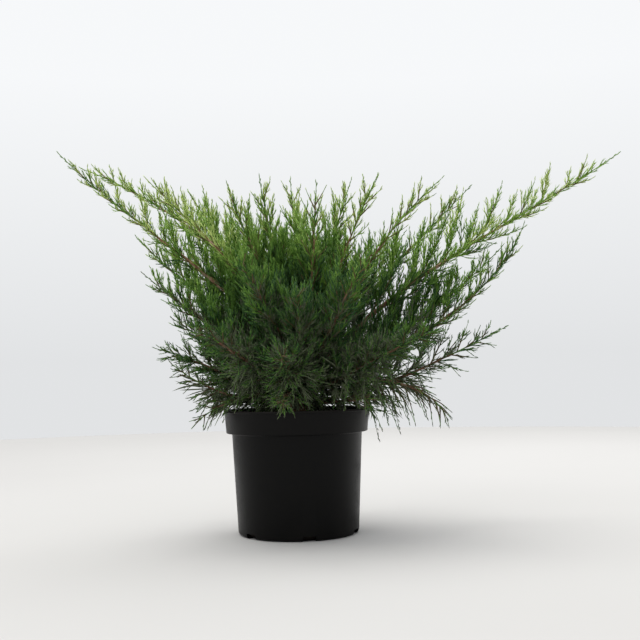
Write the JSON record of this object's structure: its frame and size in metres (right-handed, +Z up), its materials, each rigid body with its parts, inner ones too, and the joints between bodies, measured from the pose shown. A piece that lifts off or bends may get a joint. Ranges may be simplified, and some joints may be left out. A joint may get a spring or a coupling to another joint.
{
  "type": "potted sea green juniper",
  "caption": "Wide-spreading evergreen juniper with feathery upswept boughs and two long side arms, growing in a round black plastic nursery pot with a deep collar.",
  "frame": {"origin": "centre of the pot's flat underside, on the surface that it stands on", "axes": "+Z up; +X along the longer arm, to the right in the picture; +Y away from the picture's camera"},
  "size_m": [1.025, 0.523, 0.69],
  "materials": {
    "black_plastic": "black moulded plastic, half matte, with a film of dust",
    "potting_soil": "dark brown peat and bark crumbs, rough and matte",
    "bark": "reddish brown bark in thin peeling strips",
    "foliage": "scaly needle sprays, yellow-green at the top and deep green below"
  },
  "bodies": {
    "root": {"pot": "black_plastic", "soil": "potting_soil", "trunk": "bark", "bough_left_wing": "bark", "bough_left_wing_back": "bark", "bough_left_gold": "bark", "bough_left_flank": "bark", "bough_left_flank_back": "bark", "bough_left_upright": "bark", "bough_left_crest": "bark", "bough_back_crest": "bark", "bough_front_crest": "bark", "bough_right_crest": "bark", "bough_right_gold": "bark", "bough_right_fan": "bark", "bough_right_fan_back": "bark", "bough_right_wing": "bark", "bough_right_flank": "bark", "bough_front_left": "bark", "bough_front_right": "bark", "bough_back_left": "bark", "bough_back": "bark", "bough_back_right": "bark", "foliage_left_wing": "foliage", "foliage_left_wing_back": "foliage", "foliage_left_gold": "foliage", "foliage_left_flank": "foliage", "foliage_left_flank_back": "foliage", "foliage_left_arm": "foliage", "foliage_left_skirt": "foliage", "foliage_left_upright": "foliage", "foliage_left_crest": "foliage", "foliage_back_crest": "foliage", "foliage_front_crest": "foliage", "foliage_right_crest": "foliage", "foliage_right_gold": "foliage", "foliage_right_fan": "foliage", "foliage_right_fan_back": "foliage", "foliage_right_wing": "foliage", "foliage_right_flank": "foliage", "foliage_right_arm": "foliage", "foliage_right_low": "foliage", "foliage_front_left": "foliage", "foliage_front_left_low": "foliage", "foliage_front_right": "foliage", "foliage_front_right_low": "foliage", "foliage_back_left": "foliage", "foliage_back": "foliage", "foliage_back_right": "foliage", "foliage_back_low_left": "foliage", "foliage_back_low_right": "foliage", "foliage_left_droop": "foliage", "foliage_right_droop": "foliage", "foliage_front_droop": "foliage", "foliage_front_mid": "foliage", "foliage_front_low": "foliage", "foliage_middle_crest": "foliage", "foliage_low_left": "foliage", "foliage_low_right": "foliage", "foliage_low_back": "foliage"}
  },
  "joints": []
}
